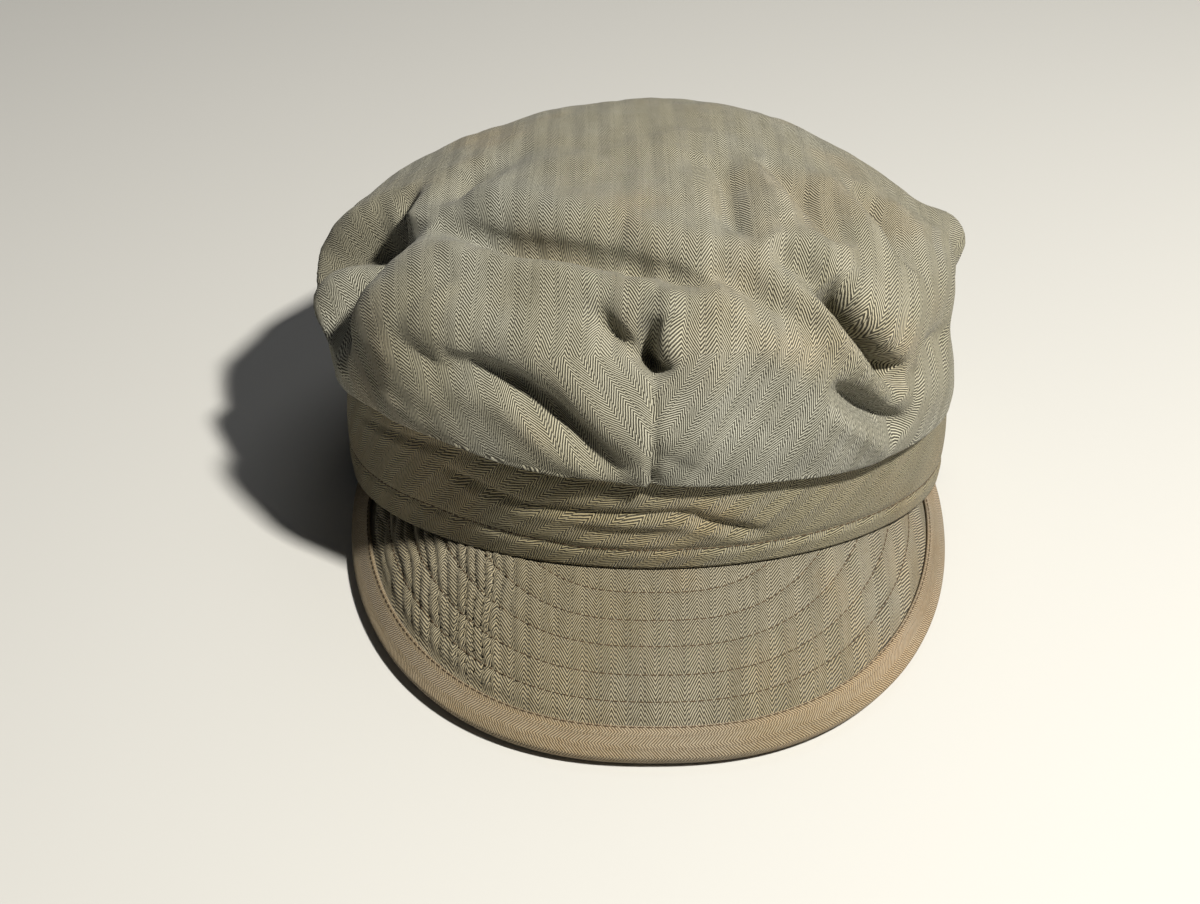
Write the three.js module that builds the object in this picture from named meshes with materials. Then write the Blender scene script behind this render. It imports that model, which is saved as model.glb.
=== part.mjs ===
// Field cap of herringbone cloth: soft crown, sewn band and short stitched peak with a tape edge.
// Millimetres, +Z up. The cap rests on its peak and the back of its band, on the plane Z = 0.
// The wearer's front faces -Y. Azimuths are degrees round the head opening, 0 at the front, 90 at +X.

import * as THREE from 'three';

// head opening and how the cap stands
const HEAD_HALF_WIDTH = 88.3;
const HEAD_HALF_DEPTH = 93;
const FRONT_RISE = 29;
const RISE_SOFTNESS = 0.12;
const SEAT_SHIFT_X = 3.6;
const SEAT_SHIFT_Y = 19.9;
const CLEARANCE = 0.3;

// band
const BAND_HEIGHT = 28;
const BAND_EXTRA = 8.5;
const BAND_EXTRA_AZIMUTH = -42;
const BAND_EXTRA_FOCUS = 8;
const BAND_WALL = 2;
const BAND_INSIDE = 0.5;
const BAND_FULLNESS = 1;
const BAND_STEPS_ROUND = 76;
const BAND_STEPS_UP = 4;

// crown
const CROWN_WALL = 2;
const APEX_HEIGHT = 106;
const CROWN_STEPS_ROUND = 76;
const CROWN_STEPS_UP = 24;
const FOLD_SAMPLES = 9;

// peak
const PEAK_HALF_WIDTH = 85.6;
const PEAK_REACH = 122;
const PEAK_CENTRE_Y = -16.5;
const PEAK_ROUNDNESS = 2.35;
const PEAK_END_AZIMUTH = 78;
const PEAK_THICKNESS = 2.6;
const PEAK_BULGE = 3;
const PEAK_TUCK = 8;
const PEAK_STEPS_ACROSS = 36;
const PEAK_STEPS_OUT = 4;

// tape round the edge of the peak
const TAPE_THICKNESS = 0.9;
const TAPE_GAP = 0.4;
const TAPE_DEPTH = 7;
const TAPE_LARGEST_SHARE = 0.9;
const TAPE_UNDER_BAND = [0.5, 0.75];
const TAPE_LEG_STEPS = 3;
const TAPE_NOSE_STEPS = 4;

const COLOURS = {
  cloth: '#989278',
  band: '#8c8468',
  peak: '#8b8265',
  tape: '#9a8c6e',
};

/** Names the columns of a short table: one object per row. */
function table(columns, rows) {
  return rows.map((row) => Object.fromEntries(columns.map((name, k) => [name, row[k]])));
}

// One row each 45 degrees from the front towards +X: radius and height of the crown where it rolls
// out over the band, at its fullest, at the brow and on top.
const CROWN_SECTIONS = table(
  ['rollR', 'rollZ', 'bulgeR', 'bulgeZ', 'browR', 'browZ', 'topR', 'topZ'],
  [
    [98, 59, 96, 74, 79, 97, 47, 107],
    [97, 50, 96, 67, 83, 93, 50, 105],
    [90, 38, 86, 60, 85, 79, 50, 97],
    [95, 34, 99, 50, 81, 75, 50, 97],
    [97, 34, 100, 50, 85, 76, 50, 96],
    [96, 35, 102, 50, 84, 76, 50, 96],
    [93, 40, 99, 60, 85, 82, 50, 98],
    [98, 60, 96, 72, 86, 90, 50, 105],
  ],
);

// One row each fold of the crown: three places along it, as azimuth and share of the way up,
// then half width and depth. A negative depth is a ridge.
const FOLD_COLUMNS = ['azA', 'upA', 'azB', 'upB', 'azC', 'upC', 'width', 'depth'];
const CROWN_FOLDS = table(FOLD_COLUMNS, [
  [-47, 0.54, -40, 0.47, -30, 0.47, 7, 2],
  [-34, 0.49, -16, 0.51, -8, 0.29, 7, 4.5],
  [-65, 0.74, -30, 0.74, -10, 0.71, 8, 4],
  [-16, 0.72, 3, 0.71, 10, 0.66, 7, 4.5],
  [0, 0.60, -1, 0.55, 1, 0.50, 6, 6],
  [-12, 0.63, -5, 0.57, -1, 0.53, 7, 4],
  [0, 0.53, -1, 0.40, -2, 0.24, 5, 3],
  [12, 0.57, 8, 0.48, 3, 0.31, 7, -3],
  [10, 0.71, 21, 0.65, 30, 0.54, 7, 4],
  [32, 0.62, 33, 0.55, 40, 0.47, 9, 11],
  [28, 0.50, 34, 0.49, 41, 0.34, 7, 4],
  [102, 0.76, 68, 0.75, 54, 0.61, 9, 3],
  [-70, 0.68, -57, 0.61, -60, 0.38, 10, 11],
  [-72, 0.65, -67, 0.61, -78, 0.47, 6, -3],
  [-91, 0.71, -73, 0.71, -74, 0.59, 7, 3.5],
  [-100, 0.38, -84, 0.33, -62, 0.31, 8, 5],
  [66, 0.43, 55, 0.45, 51, 0.46, 7, 3],
  [112, 0.70, 92, 0.68, 78, 0.66, 7, -3],
  [128, 0.24, 134, 0.42, 130, 0.60, 11, 5],
  [163, 0.22, 160, 0.38, 166, 0.55, 10, 4],
  [197, 0.22, 201, 0.40, 196, 0.58, 11, 5],
  [234, 0.24, 230, 0.40, 237, 0.56, 10, 4],
]);

// One row each crease of the band: two places, as azimuth and height above the band's edge,
// then half width and depth.
const BAND_CREASES = table(
  ['azA', 'upA', 'azB', 'upB', 'width', 'depth'],
  [
    [-60, 21, 22, 22, 4, 1.2],
    [-46, 16, 8, 12, 4, 1],
    [6, 13, 27, 6, 4, 0.8],
    [150, 10, 205, 17, 6, 0.8],
  ],
);

const radians = THREE.MathUtils.degToRad;

/** A curve value between b and c, with a and d as the neighbours before and after. */
function smoothStep4(a, b, c, d, share) {
  const bend = 2 * a - 5 * b + 4 * c - d + share * (3 * (b - c) + d - a);
  return b + 0.5 * share * (c - a + share * bend);
}

/** A named column of the crown's sections at any azimuth. */
function sectionAt(column, azimuth) {
  const rows = CROWN_SECTIONS.length;
  const place = (((azimuth % 360) + 360) % 360) / (360 / rows);
  const first = Math.floor(place);
  const [a, b, c, d] = [-1, 0, 1, 2].map((k) => CROWN_SECTIONS[(first + k + rows) % rows][column]);
  return smoothStep4(a, b, c, d, place - first);
}

/** Radius of the head opening at an azimuth. */
function headRadius(azimuth) {
  const across = Math.sin(radians(azimuth)) / HEAD_HALF_WIDTH;
  const along = Math.cos(radians(azimuth)) / HEAD_HALF_DEPTH;
  return 1 / Math.hypot(across, along);
}

function softRamp(value) {
  return 0.5 * (value + Math.hypot(value, RISE_SOFTNESS));
}

/** Height of the band's lower edge: flat at the back, rising evenly over the front half. */
function hemHeight(azimuth) {
  return FRONT_RISE * (softRamp(Math.cos(radians(azimuth))) - softRamp(-1));
}

/** Height of the band at any azimuth: it is drawn up a little on the left of the front. */
function bandHeight(azimuth) {
  const near = Math.max(0, Math.cos(radians(azimuth - BAND_EXTRA_AZIMUTH)));
  return BAND_HEIGHT + BAND_EXTRA * near ** BAND_EXTRA_FOCUS;
}

/** A point at a radius, azimuth and height. */
function aroundHead(radius, azimuth, height) {
  const turn = radians(azimuth);
  const x = SEAT_SHIFT_X + radius * Math.sin(turn);
  const y = SEAT_SHIFT_Y - radius * Math.cos(turn);
  return new THREE.Vector3(x, y, height);
}

/** The crown's smooth form, from its seam on the band (share 0) to the apex (share 1). */
function crownForm(azimuth, share) {
  const seamR = headRadius(azimuth) + BAND_WALL - BAND_INSIDE;
  const seamZ = hemHeight(azimuth) + bandHeight(azimuth) + CLEARANCE;
  const at = (column) => sectionAt(column, azimuth);
  const radii = [seamR - 2, seamR, at('rollR'), at('bulgeR'), at('browR'), at('topR'), 0];
  const heights = [seamZ - 6, seamZ, at('rollZ'), at('bulgeZ'), at('browZ'), at('topZ'), APEX_HEIGHT];
  radii.push(-sectionAt('topR', azimuth + 180));
  heights.push(sectionAt('topZ', azimuth + 180));
  const spans = radii.length - 3;
  const place = Math.min(share * spans, spans);
  const first = Math.min(Math.floor(place), spans - 1);
  const radius = smoothStep4(...radii.slice(first, first + 4), place - first);
  const height = smoothStep4(...heights.slice(first, first + 4), place - first);
  return aroundHead(radius, azimuth, height);
}

/** The places of a fold along the crown's smooth form. */
function foldPath(fold) {
  const places = [];
  for (let k = 0; k < FOLD_SAMPLES; k += 1) {
    const s = k / (FOLD_SAMPLES - 1);
    const [a, b, c] = [(1 - s) * (1 - s), 2 * s * (1 - s), s * s];
    const azimuth = a * fold.azA + b * fold.azB + c * fold.azC;
    places.push(crownForm(azimuth, a * fold.upA + b * fold.upB + c * fold.upC));
  }
  return places;
}

/** Distance from a point to a path, and the share of the path where it is nearest. */
function nearestOnPath(point, path) {
  let best = { distance: Infinity, share: 0 };
  const onPath = new THREE.Vector3();
  for (let k = 0; k + 1 < path.length; k += 1) {
    const line = new THREE.Line3(path[k], path[k + 1]);
    const step = line.closestPointToPointParameter(point, true);
    const distance = line.at(step, onPath).distanceTo(point);
    if (distance < best.distance) {
      best = { distance, share: (k + step) / (path.length - 1) };
    }
  }
  return best;
}

/** How far a fold pushes a point inwards: full at its middle, fading to its ends and sides. */
function foldDepth(point, path, width, depth) {
  const { distance, share } = nearestOnPath(point, path);
  const fade = 1 - (2 * share - 1) ** 4;
  return depth * fade * Math.exp(-((distance / width) ** 2));
}

/** Unit normals of a grid that closes round its first index, facing away from the head. */
function gridNormals(grid) {
  const round = grid.length;
  return grid.map((line, i) => line.map((point, j) => {
    const along = grid[(i + 1) % round][j].clone().sub(grid[(i + round - 1) % round][j]);
    const up = line[Math.min(j + 1, line.length - 1)].clone().sub(line[Math.max(j - 1, 0)]);
    const normal = along.cross(up);
    return normal.lengthSq() > 1e-9 ? normal.normalize() : new THREE.Vector3(0, 0, 1);
  }));
}

/** Points and triangles gathered into one closed geometry. */
class Skin {
  constructor() {
    this.positions = [];
    this.indices = [];
  }

  add(point) {
    this.positions.push(point.x, point.y, point.z);
    return this.positions.length / 3 - 1;
  }

  triangle(a, b, c) {
    this.indices.push(a, b, c);
  }

  quad(a, b, c, d) {
    this.triangle(a, b, c);
    this.triangle(a, c, d);
  }

  geometry() {
    const geometry = new THREE.BufferGeometry();
    geometry.setAttribute('position', new THREE.Float32BufferAttribute(this.positions, 3));
    geometry.setIndex(this.indices);
    geometry.computeVertexNormals();
    return geometry;
  }
}

/**
 * A tube of closed sections, capped at its ends unless it closes round. A section is a thin wall:
 * its first half runs along one face and its second half back along the other.
 */
function sweptSections(sections, closesRound) {
  const skin = new Skin();
  const rings = sections.map((section) => section.map((point) => skin.add(point)));
  const sides = rings[0].length;
  const spans = closesRound ? rings.length : rings.length - 1;
  for (let i = 0; i < spans; i += 1) {
    const here = rings[i];
    const next = rings[(i + 1) % rings.length];
    for (let k = 0; k < sides; k += 1) {
      const l = (k + 1) % sides;
      skin.quad(here[k], next[k], next[l], here[l]);
    }
  }
  if (!closesRound) {
    const last = rings[rings.length - 1];
    for (let k = 0; k < sides / 2 - 1; k += 1) {
      const l = sides - 1 - k;
      skin.quad(rings[0][k], rings[0][k + 1], rings[0][l - 1], rings[0][l]);
      skin.quad(last[l], last[l - 1], last[k + 1], last[k]);
    }
  }
  return skin.geometry();
}

/** The crown: one hollow wall with its folds, open at the head. */
function crownGeometry() {
  const form = [];
  for (let i = 0; i < CROWN_STEPS_ROUND; i += 1) {
    const azimuth = (360 * i) / CROWN_STEPS_ROUND;
    const line = [];
    for (let j = 0; j < CROWN_STEPS_UP; j += 1) {
      line.push(crownForm(azimuth, j / CROWN_STEPS_UP));
    }
    form.push(line);
  }
  const folds = CROWN_FOLDS.map((fold) => ({ ...fold, path: foldPath(fold) }));
  const inwardAt = (point) => folds.reduce(
    (sum, fold) => sum + foldDepth(point, fold.path, fold.width, fold.depth), 0);
  const formNormals = gridNormals(form);
  const outer = form.map((line, i) => line.map((point, j) => {
    const held = Math.min(1, j / 3);
    return point.clone().addScaledVector(formNormals[i][j], -inwardAt(point) * held);
  }));
  const outerNormals = gridNormals(outer);
  const inner = outer.map((line, i) => line.map((point, j) => {
    const across = outerNormals[i][j].clone();
    if (j === 0) {
      across.setZ(0).normalize();
    }
    return point.clone().addScaledVector(across, -CROWN_WALL);
  }));
  const skin = new Skin();
  const outerIds = outer.map((line) => line.map((point) => skin.add(point)));
  const innerIds = inner.map((line) => line.map((point) => skin.add(point)));
  const apex = crownForm(0, 1);
  const outerApex = skin.add(apex);
  const innerApex = skin.add(apex.clone().setZ(apex.z - CROWN_WALL));
  const top = CROWN_STEPS_UP - 1;
  for (let i = 0; i < CROWN_STEPS_ROUND; i += 1) {
    const next = (i + 1) % CROWN_STEPS_ROUND;
    for (let j = 0; j < top; j += 1) {
      skin.quad(outerIds[i][j], outerIds[next][j], outerIds[next][j + 1], outerIds[i][j + 1]);
      skin.quad(innerIds[i][j + 1], innerIds[next][j + 1], innerIds[next][j], innerIds[i][j]);
    }
    skin.quad(innerIds[i][0], innerIds[next][0], outerIds[next][0], outerIds[i][0]);
    skin.triangle(outerIds[i][top], outerIds[next][top], outerApex);
    skin.triangle(innerIds[next][top], innerIds[i][top], innerApex);
  }
  return skin.geometry();
}

/** The band: a wall round the head opening, slightly full, with its creases outside. */
function bandGeometry() {
  const onBand = (azimuth, up) => {
    const radius = headRadius(azimuth) + BAND_WALL - BAND_INSIDE;
    return aroundHead(radius, azimuth, hemHeight(azimuth) + up);
  };
  const creases = BAND_CREASES.map((crease) => {
    const path = [];
    for (let k = 0; k < FOLD_SAMPLES; k += 1) {
      const s = k / (FOLD_SAMPLES - 1);
      const azimuth = THREE.MathUtils.lerp(crease.azA, crease.azB, s);
      path.push(onBand(azimuth, THREE.MathUtils.lerp(crease.upA, crease.upB, s)));
    }
    return { ...crease, path };
  });
  const sections = [];
  for (let i = 0; i < BAND_STEPS_ROUND; i += 1) {
    const azimuth = (360 * i) / BAND_STEPS_ROUND;
    const away = aroundHead(1, azimuth, 0).sub(aroundHead(0, azimuth, 0));
    const outside = [];
    const inside = [];
    for (let j = 0; j <= BAND_STEPS_UP; j += 1) {
      const share = j / BAND_STEPS_UP;
      const point = onBand(azimuth, share * bandHeight(azimuth));
      const pressed = creases.reduce(
        (sum, crease) => sum + foldDepth(point, crease.path, crease.width, crease.depth), 0);
      const fullness = BAND_FULLNESS * Math.sin(Math.PI * share) - pressed * Math.sin(Math.PI * share);
      outside.push(point.clone().addScaledVector(away, fullness));
      inside.push(point.clone().addScaledVector(away, fullness - BAND_WALL));
    }
    sections.push([...outside, ...inside.reverse()]);
  }
  return sweptSections(sections, true);
}

/** The peak's middle surface: across from -1 to 1, outwards from the band (0) to the edge (1). */
function peakForm(across, out) {
  const azimuth = across * PEAK_END_AZIMUTH;
  const tuck = BAND_INSIDE + PEAK_TUCK * Math.abs(across) ** 4;
  const tapeUnder = THREE.MathUtils.smoothstep(Math.abs(across), ...TAPE_UNDER_BAND);
  const tapeRoom = (TAPE_GAP + TAPE_THICKNESS) * tapeUnder;
  const seamZ = hemHeight(azimuth) - CLEARANCE - PEAK_THICKNESS / 2 - tapeRoom;
  const seam = aroundHead(headRadius(azimuth) - tuck, azimuth, seamZ);
  const turn = (across * Math.PI) / 2;
  const sideways = Math.abs(Math.sin(turn) / PEAK_HALF_WIDTH) ** PEAK_ROUNDNESS;
  const forwards = Math.abs(Math.cos(turn) / PEAK_REACH) ** PEAK_ROUNDNESS;
  const reach = (sideways + forwards) ** (-1 / PEAK_ROUNDNESS);
  const edge = new THREE.Vector3(
    SEAT_SHIFT_X + reach * Math.sin(turn),
    SEAT_SHIFT_Y + PEAK_CENTRE_Y - reach * Math.cos(turn),
    PEAK_THICKNESS / 2 + TAPE_GAP + TAPE_THICKNESS,
  );
  const point = seam.lerp(edge, out);
  point.z += PEAK_BULGE * Math.sin(Math.PI * out) * Math.cos(turn);
  return point;
}

/** Unit normal of the peak's middle surface, facing up. */
function peakNormal(across, out) {
  const step = 0.01;
  const right = Math.min(1, across + step);
  const left = Math.max(-1, across - step);
  const sideways = peakForm(right, out).sub(peakForm(left, out));
  const outwards = peakForm(across, out + step).sub(peakForm(across, out - step));
  return outwards.cross(sideways).normalize();
}

/** How far out the tape begins, which leaves its depth to the peak's edge. */
function tapeStart(across) {
  const length = peakForm(across, 1).distanceTo(peakForm(across, 0));
  return 1 - Math.min(TAPE_LARGEST_SHARE, TAPE_DEPTH / length);
}

/** The places out along the peak under the tape, from its inner edge to the peak's edge. */
function tapeStations(across) {
  const start = tapeStart(across);
  return Array.from({ length: TAPE_LEG_STEPS + 1 }, (_, k) => start + ((1 - start) * k) / TAPE_LEG_STEPS);
}

/** The peak: a stiff stitched board that follows the band's edge. */
function peakGeometry() {
  const sections = [];
  for (let i = 0; i <= PEAK_STEPS_ACROSS; i += 1) {
    const across = (2 * i) / PEAK_STEPS_ACROSS - 1;
    const start = tapeStart(across);
    const open = Array.from({ length: PEAK_STEPS_OUT }, (_, j) => (start * j) / PEAK_STEPS_OUT);
    const above = [];
    const below = [];
    for (const out of [...open, ...tapeStations(across)]) {
      const middle = peakForm(across, out);
      const normal = peakNormal(across, out);
      above.push(middle.clone().addScaledVector(normal, PEAK_THICKNESS / 2));
      below.push(middle.clone().addScaledVector(normal, -PEAK_THICKNESS / 2));
    }
    sections.push([...below, ...above.reverse()]);
  }
  return sweptSections(sections, false);
}

/** The tape: a U section that holds the peak's edge, swept from one end of the peak to the other. */
function tapeGeometry() {
  const sections = [];
  const innerFace = PEAK_THICKNESS / 2 + TAPE_GAP;
  for (let i = 0; i <= PEAK_STEPS_ACROSS; i += 1) {
    const across = (2 * i) / PEAK_STEPS_ACROSS - 1;
    const edge = peakForm(across, 1);
    const shell = (offset) => {
      const above = [];
      const below = [];
      for (const out of tapeStations(across)) {
        const middle = peakForm(across, out);
        const normal = peakNormal(across, out);
        above.push(middle.clone().addScaledVector(normal, offset));
        below.push(middle.clone().addScaledVector(normal, -offset));
      }
      const normal = peakNormal(across, 1);
      const outwards = edge.clone().sub(peakForm(across, 0.95)).normalize();
      const nose = [];
      for (let k = 1; k < TAPE_NOSE_STEPS; k += 1) {
        const turn = (Math.PI * k) / TAPE_NOSE_STEPS;
        const reach = TAPE_GAP + (offset - innerFace);
        nose.push(edge.clone()
          .addScaledVector(normal, offset * Math.cos(turn))
          .addScaledVector(outwards, reach * Math.sin(turn)));
      }
      return [...above, ...nose, ...below.reverse()];
    };
    sections.push([...shell(innerFace), ...shell(innerFace + TAPE_THICKNESS).reverse()]);
  }
  return sweptSections(sections, false);
}

/** A named piece with the cloth's own colour. */
function piece(name, geometry, colour) {
  const material = new THREE.MeshStandardMaterial({ color: colour, roughness: 0.95, metalness: 0 });
  const mesh = new THREE.Mesh(geometry, material);
  mesh.name = name;
  return mesh;
}

const cap = new THREE.Group();
cap.add(piece('crown', crownGeometry(), COLOURS.cloth));
cap.add(piece('band', bandGeometry(), COLOURS.band));
cap.add(piece('peak', peakGeometry(), COLOURS.peak));
cap.add(piece('peak_binding', tapeGeometry(), COLOURS.tape));

export default cap;
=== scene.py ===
import math

import bmesh
import bpy
import numpy as np
from mathutils import Matrix, Vector, noise


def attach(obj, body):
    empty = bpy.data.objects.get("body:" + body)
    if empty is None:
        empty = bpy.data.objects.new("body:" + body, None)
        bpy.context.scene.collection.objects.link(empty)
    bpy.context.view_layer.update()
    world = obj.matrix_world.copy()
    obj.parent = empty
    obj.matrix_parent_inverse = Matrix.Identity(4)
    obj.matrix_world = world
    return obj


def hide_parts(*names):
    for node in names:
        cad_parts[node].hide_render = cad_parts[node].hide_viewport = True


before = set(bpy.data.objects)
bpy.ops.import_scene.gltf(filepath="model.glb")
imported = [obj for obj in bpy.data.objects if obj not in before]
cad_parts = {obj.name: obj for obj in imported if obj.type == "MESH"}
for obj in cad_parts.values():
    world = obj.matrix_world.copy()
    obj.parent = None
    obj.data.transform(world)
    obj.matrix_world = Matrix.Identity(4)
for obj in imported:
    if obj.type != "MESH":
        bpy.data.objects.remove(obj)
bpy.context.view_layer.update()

bl_info = {
    "name": "Field cap",
    "version": (1, 0, 0),
    "blender": (4, 5, 0),
    "location": "View3D > Sidebar > Cap",
    "description": "Makes a soft field cap of herringbone cloth with a stitched peak, on its frame",
    "category": "Object",
}

# Lengths are in millimetres until a mesh is written, azimuths in degrees round the head opening:
# 0 at the front (-Y), 90 at +X.
MM = 0.001

# The cap's build, as in its frame
HEAD_HALF_WIDTH = 88.3
HEAD_HALF_DEPTH = 93.0
FRONT_RISE = 29.0
RISE_SOFTNESS = 0.12
SEAT_SHIFT = (3.6, 19.9)
CLEARANCE = 0.3
BAND_HEIGHT = 28.0
BAND_EXTRA = 8.5
BAND_EXTRA_AZIMUTH = -42.0
BAND_EXTRA_FOCUS = 8
BAND_WALL = 2.0
BAND_INSIDE = 0.5
BAND_FULLNESS = 1.0
APEX_HEIGHT = 106.0
# How far inwards and down from its seam on the band the crown's curve begins
SEAM_LEAD_IN, SEAM_LEAD_DOWN = 2.0, 6.0
PEAK_HALF_WIDTH = 85.6
PEAK_REACH = 122.0
PEAK_CENTRE_Y = -16.5
PEAK_ROUNDNESS = 2.35
PEAK_END_AZIMUTH = 78.0
PEAK_THICKNESS = 2.6
PEAK_BULGE = 3.0
PEAK_TUCK = 8.0
PEAK_TUCK_FOCUS = 4
TAPE_THICKNESS = 0.9
TAPE_GAP = 0.4
TAPE_DEPTH = 7.0
TAPE_LARGEST_SHARE = 0.9
TAPE_UNDER_BAND = (0.5, 0.75)
# From the peak's middle surface to the tape's outer face
TAPE_OFFSET = PEAK_THICKNESS / 2 + TAPE_GAP + TAPE_THICKNESS

# One row each 45 degrees from the front towards +X: radius and height of the crown where it rolls out
# over the band, at its fullest, at the brow and on top.
ROLL_R, ROLL_Z, BULGE_R, BULGE_Z, BROW_R, BROW_Z, TOP_R, TOP_Z = range(8)
CROWN_SECTIONS = np.array([
    [98, 59, 96, 74, 79, 97, 47, 107],
    [97, 50, 96, 67, 83, 93, 50, 105],
    [90, 38, 86, 60, 85, 79, 50, 97],
    [95, 34, 99, 50, 81, 75, 50, 97],
    [97, 34, 100, 50, 85, 76, 50, 96],
    [96, 35, 102, 50, 84, 76, 50, 96],
    [93, 40, 99, 60, 85, 82, 50, 98],
    [98, 60, 96, 72, 86, 90, 50, 105],
], dtype=float)

# One row each fold of the crown: three places along it as azimuth and share of the way up, half width,
# depth (a ridge below 0), height of the puff on its left and of the rise on its right, how far the puff
# leans over it, and how sharp it is.
CROWN_FOLDS = [
    # azA  upA   azB   upB   azC   upC  width depth puff rise lean sharp
    (-47, 0.54, -40, 0.47, -30, 0.47, 4.5, 2.5, 1.5, 0.5, 0.5, 1.5),
    (-36, 0.49, -16, 0.53, -4, 0.24, 4.2, 6.0, 3.0, 1.2, 2.2, 1.6),
    (-63, 0.72, -26, 0.79, 0, 0.70, 5.5, 10.0, 2.5, 1.5, 2.2, 1.6),
    (-9, 0.72, 4, 0.71, 12, 0.64, 4.5, 5.5, 3.0, 1.5, 1.5, 1.5),
    (10, 0.70, 14, 0.64, 16, 0.58, 6.0, -2.5, 0.0, 0.0, 0.0, 1.8),
    (10, 0.71, 21, 0.65, 30, 0.54, 6.0, 5.0, 2.0, 2.0, 0.5, 1.6),
    (0, 0.60, -1, 0.55, 1, 0.50, 3.0, 9.0, 0.0, 0.8, 1.6, 1.8),
    (-13, 0.635, -6, 0.56, 3, 0.49, 4.0, 6.5, 0.8, 0.8, 1.5, 1.5),
    (2, 0.65, 3, 0.59, 2, 0.52, 3.0, -3.0, 0.0, 0.0, 0.0, 1.8),
    (12, 0.57, 8, 0.48, 3, 0.31, 6.0, -3.0, 0.0, 0.0, 0.0, 1.8),
    (36, 0.645, 36, 0.55, 45, 0.43, 4.2, 20.0, 1.0, 1.5, 4.5, 2.5),
    (29, 0.73, 32, 0.67, 38, 0.60, 5.0, 6.0, 1.5, 1.0, 0.5, 1.7),
    (28, 0.46, 35, 0.44, 44, 0.29, 3.8, 6.5, 1.0, 2.0, 1.5, 1.7),
    (90, 0.76, 68, 0.75, 57, 0.60, 5.0, 5.5, 0.8, 1.2, 0.0, 1.6),
    (84, 0.88, 50, 0.81, 46, 0.69, 5.0, 5.0, 1.2, 0.8, 0.0, 1.6),
    (65, 0.94, 15, 0.84, 28, 0.73, 5.0, 4.5, 1.2, 0.5, 0.0, 1.6),
    (-75, 0.70, -66, 0.60, -68, 0.36, 13.0, 15.0, 3.0, 0.0, 3.0, 2.0),
    (-78, 0.71, -85, 0.60, -89, 0.44, 8.5, 11.0, 0.0, 0.0, 0.0, 1.8),
    (-91, 0.71, -73, 0.71, -74, 0.59, 3.5, 4.5, 1.0, 1.0, 0.0, 1.5),
    (-95, 0.82, -75, 0.79, -69, 0.74, 5.0, 2.5, 1.0, 0.5, 0.0, 1.6),
    (-109, 0.87, -68, 0.84, -76, 0.77, 6.0, 1.6, 0.8, 0.3, 0.0, 1.7),
    (-66, 0.44, -59, 0.43, -56, 0.38, 4.5, 4.0, 1.0, 1.0, 0.0, 1.6),
    (-100, 0.38, -84, 0.33, -62, 0.31, 7.0, 5.0, 1.0, 0.5, 0.0, 1.6),
    (-34, 0.63, -19, 0.61, -11, 0.54, 9.0, 1.2, 0.8, 0.0, 0.0, 1.8),
    (14, 0.46, 17, 0.39, 22, 0.33, 8.0, 1.5, 0.6, 0.0, 0.0, 1.8),
    (66, 0.43, 55, 0.45, 51, 0.46, 4.0, 4.0, 1.0, 0.0, 0.0, 1.6),
    (44, 0.42, 46, 0.45, 60, 0.38, 6.0, 3.0, 0.6, 0.0, 0.0, 1.6),
    (101, 0.60, 92, 0.575, 84, 0.54, 5.0, -4.6, 0.0, 0.0, 0.0, 1.4),
    (128, 0.24, 134, 0.42, 130, 0.60, 10.0, 5.5, 1.2, 1.2, 0.0, 1.6),
    (163, 0.22, 160, 0.38, 166, 0.55, 9.0, 4.5, 1.0, 1.0, 0.0, 1.6),
    (197, 0.22, 201, 0.40, 196, 0.58, 10.0, 5.5, 1.2, 1.2, 0.0, 1.6),
    (234, 0.24, 230, 0.40, 237, 0.56, 9.0, 4.5, 1.0, 1.0, 0.0, 1.6),
]

# One row each crease of the band: two places as azimuth and height above its lower edge, half width,
# depth.
BAND_CREASES = [
    (-66, 28.0, -30, 31.0, 1.4, 1.9),
    (-33, 31.2, 3, 25.5, 1.3, 1.7),
    (-38, 25.0, -19, 17.5, 1.8, 1.7),
    (-25, 18.0, 9, 18.5, 1.6, 1.9),
    (3, 18.5, 19, 9.0, 1.8, 1.9),
    (-14, 12.0, 6, 11.0, 2.4, 0.8),
    (150, 10.0, 205, 17.0, 5.0, 0.8),
]

# Azimuth of the dart's seam at the front, and the share of the way up at which it ends
SEAM_AZIMUTH = -1.0
SEAM_TOP = 0.53

# Places taken along a fold, its reach in half widths and in millimetres beyond them, and how late its
# depth fades towards its ends
FOLD_SAMPLES = 13
FOLD_REACH, FOLD_REACH_BEYOND = 6, 12
FOLD_FADE = 2.6
# Places and widths of a fold's swellings, in half widths of the fold
PUFF_PLACE, PUFF_WIDTH = 2.4, 1.6
RISE_PLACE, RISE_WIDTH = 1.9, 0.9
LEAN_PLACE, LEAN_EDGE, LEAN_WIDTH = 0.8, 0.22, 2.4

# Distances of the peak's and the tape's stitch rows from the peak's edge, and the azimuths and heights
# of the band's row above its lower edge
STITCH_ROWS = (43.9, 35.8, 28.6, 21.0, 14.0)
TAPE_STITCH_IN = 6.6
BAND_STITCHES = np.array([(-180, 6.0), (-90, 9.0), (-40, 9.5), (-12, 6.0), (180, 6.0)])


def length_property(name, description, millimetres):
    return bpy.props.FloatProperty(
        name=name, description=description, default=millimetres * MM, unit="LENGTH")


def colour_property(name, description, default):
    return bpy.props.FloatVectorProperty(
        name=name, description=description, default=default,
        subtype="COLOR", size=3, min=0.0, max=1.0)


class CapSizes(bpy.types.PropertyGroup):
    cloth_thickness: length_property("Cloth thickness", "Thickness of the crown's wall", 1.4)
    stripe: length_property("Stripe", "Width of one herringbone stripe", 3.7)
    twill_pitch: length_property(
        "Twill pitch", "Distance along a stripe from one twill line to the next", 1.2)
    stitch_length: length_property("Stitch length", "Distance from one stitch to the next", 2.2)
    stitch_width: length_property("Thread width", "Diameter of the sewing thread", 0.4)


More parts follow.
